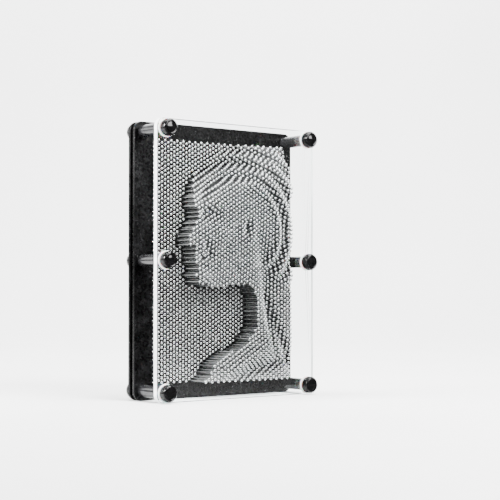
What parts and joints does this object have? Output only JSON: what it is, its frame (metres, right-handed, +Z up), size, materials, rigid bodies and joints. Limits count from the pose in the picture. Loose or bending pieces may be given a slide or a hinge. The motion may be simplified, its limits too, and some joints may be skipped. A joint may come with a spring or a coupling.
{
  "type": "pin art impression toy",
  "caption": "Upright pin toy: a clear cover on posts in front of perforated plates whose sliding metal pins hold an impression.",
  "frame": {"origin": "under the middle of the toy's box, on the surface it stands on", "axes": "+X to the right seen from the front, -Y out of the clear cover towards the viewer, +Z up"},
  "size_m": [0.145, 0.0668, 0.2],
  "materials": {
    "clear_acrylic": "clear, polished faces and bright edges",
    "black_plate": "satin black",
    "gloss_black": "gloss black",
    "spacer_black": "matt black",
    "washer_nylon": "translucent white",
    "rod_steel": "plain turned steel",
    "pin_metal": "bright plated steel"
  },
  "bodies": {
    "frame": {"front_cover": "clear_acrylic", "front_pin_plate": "black_plate", "rear_pin_plate": "black_plate", "post_top_left": "gloss_black", "post_middle_left": "gloss_black", "post_bottom_left": "gloss_black", "post_top_right": "gloss_black", "post_middle_right": "gloss_black", "post_bottom_right": "gloss_black", "plate_spacer_top_left": "spacer_black", "plate_spacer_middle_left": "spacer_black", "plate_spacer_bottom_left": "spacer_black", "plate_spacer_top_right": "spacer_black", "plate_spacer_middle_right": "spacer_black", "plate_spacer_bottom_right": "spacer_black", "cover_washer_top_left": "washer_nylon", "cover_washer_middle_left": "washer_nylon", "cover_washer_bottom_left": "washer_nylon", "cover_washer_top_right": "washer_nylon", "cover_washer_middle_right": "washer_nylon", "cover_washer_bottom_right": "washer_nylon", "front_cap_top_left": "gloss_black", "front_cap_middle_left": "gloss_black", "front_cap_bottom_left": "gloss_black", "front_cap_top_right": "gloss_black", "front_cap_middle_right": "gloss_black", "front_cap_bottom_right": "gloss_black", "rear_knob_top_left": "gloss_black", "rear_knob_middle_left": "gloss_black", "rear_knob_bottom_left": "gloss_black", "rear_knob_top_right": "gloss_black", "rear_knob_middle_right": "gloss_black", "rear_knob_bottom_right": "gloss_black", "tie_rod_top_left": "rod_steel", "tie_rod_middle_left": "rod_steel", "tie_rod_bottom_left": "rod_steel", "tie_rod_top_right": "rod_steel", "tie_rod_middle_right": "rod_steel", "tie_rod_bottom_right": "rod_steel"},
    "bank_1_1": {"pin_bank_1_1": "pin_metal"},
    "bank_1_2": {"pin_bank_1_2": "pin_metal"},
    "bank_1_3": {"pin_bank_1_3": "pin_metal"},
    "bank_2_1": {"pin_bank_2_1": "pin_metal"},
    "bank_2_2": {"pin_bank_2_2": "pin_metal"},
    "bank_2_3": {"pin_bank_2_3": "pin_metal"},
    "bank_3_1": {"pin_bank_3_1": "pin_metal"},
    "bank_3_2": {"pin_bank_3_2": "pin_metal"},
    "bank_3_3": {"pin_bank_3_3": "pin_metal"},
    "bank_4_1": {"pin_bank_4_1": "pin_metal"},
    "bank_4_2": {"pin_bank_4_2": "pin_metal"},
    "bank_4_3": {"pin_bank_4_3": "pin_metal"},
    "bank_5_1": {"pin_bank_5_1": "pin_metal"},
    "bank_5_2": {"pin_bank_5_2": "pin_metal"},
    "bank_5_3": {"pin_bank_5_3": "pin_metal"},
    "bank_6_1": {"pin_bank_6_1": "pin_metal"},
    "bank_6_2": {"pin_bank_6_2": "pin_metal"},
    "bank_6_3": {"pin_bank_6_3": "pin_metal"},
    "bank_7_1": {"pin_bank_7_1": "pin_metal"},
    "bank_7_2": {"pin_bank_7_2": "pin_metal"},
    "bank_7_3": {"pin_bank_7_3": "pin_metal"}
  },
  "joints": [
    {"name": "slide_1_1", "type": "slide", "parent": "frame", "child": "bank_1_1", "axis": [0, -1, 0], "range_m": [0, 0.01988]},
    {"name": "slide_1_2", "type": "slide", "parent": "frame", "child": "bank_1_2", "axis": [0, -1, 0], "range_m": [0, 0.0087]},
    {"name": "slide_1_3", "type": "slide", "parent": "frame", "child": "bank_1_3", "axis": [0, -1, 0], "range_m": [-0.00282, 0.00221]},
    {"name": "slide_2_1", "type": "slide", "parent": "frame", "child": "bank_2_1", "axis": [0, -1, 0], "range_m": [0, 0.00358]},
    {"name": "slide_2_2", "type": "slide", "parent": "frame", "child": "bank_2_2", "axis": [0, -1, 0], "range_m": [-0.00693, 0.00265]},
    {"name": "slide_2_3", "type": "slide", "parent": "frame", "child": "bank_2_3", "axis": [0, -1, 0], "range_m": [-0.0155, 0.00221]},
    {"name": "slide_3_1", "type": "slide", "parent": "frame", "child": "bank_3_1", "axis": [0, -1, 0], "range_m": [0, 0.0035]},
    {"name": "slide_3_2", "type": "slide", "parent": "frame", "child": "bank_3_2", "axis": [0, -1, 0], "range_m": [-0.01499, 0.00225]},
    {"name": "slide_3_3", "type": "slide", "parent": "frame", "child": "bank_3_3", "axis": [0, -1, 0], "range_m": [-0.01612, 0.00221]},
    {"name": "slide_4_1", "type": "slide", "parent": "frame", "child": "bank_4_1", "axis": [0, -1, 0], "range_m": [0, 0.00353]},
    {"name": "slide_4_2", "type": "slide", "parent": "frame", "child": "bank_4_2", "axis": [0, -1, 0], "range_m": [-0.01714, 0.00362]},
    {"name": "slide_4_3", "type": "slide", "parent": "frame", "child": "bank_4_3", "axis": [0, -1, 0], "range_m": [-0.01378, 0.00221]},
    {"name": "slide_5_1", "type": "slide", "parent": "frame", "child": "bank_5_1", "axis": [0, -1, 0], "range_m": [0, 0.00427]},
    {"name": "slide_5_2", "type": "slide", "parent": "frame", "child": "bank_5_2", "axis": [0, -1, 0], "range_m": [0, 0.00485]},
    {"name": "slide_5_3", "type": "slide", "parent": "frame", "child": "bank_5_3", "axis": [0, -1, 0], "range_m": [0, 0.00277]},
    {"name": "slide_6_1", "type": "slide", "parent": "frame", "child": "bank_6_1", "axis": [0, -1, 0], "range_m": [0, 0.0222]},
    {"name": "slide_6_2", "type": "slide", "parent": "frame", "child": "bank_6_2", "axis": [0, -1, 0], "range_m": [0, 0.00503]},
    {"name": "slide_6_3", "type": "slide", "parent": "frame", "child": "bank_6_3", "axis": [0, -1, 0], "range_m": [0, 0.00313]},
    {"name": "slide_7_1", "type": "slide", "parent": "frame", "child": "bank_7_1", "axis": [0, -1, 0], "range_m": [0, 0.00521]},
    {"name": "slide_7_2", "type": "slide", "parent": "frame", "child": "bank_7_2", "axis": [0, -1, 0], "range_m": [0, 0.00221]},
    {"name": "slide_7_3", "type": "slide", "parent": "frame", "child": "bank_7_3", "axis": [0, -1, 0], "range_m": [-0.01424, 0.00236]}
  ]
}
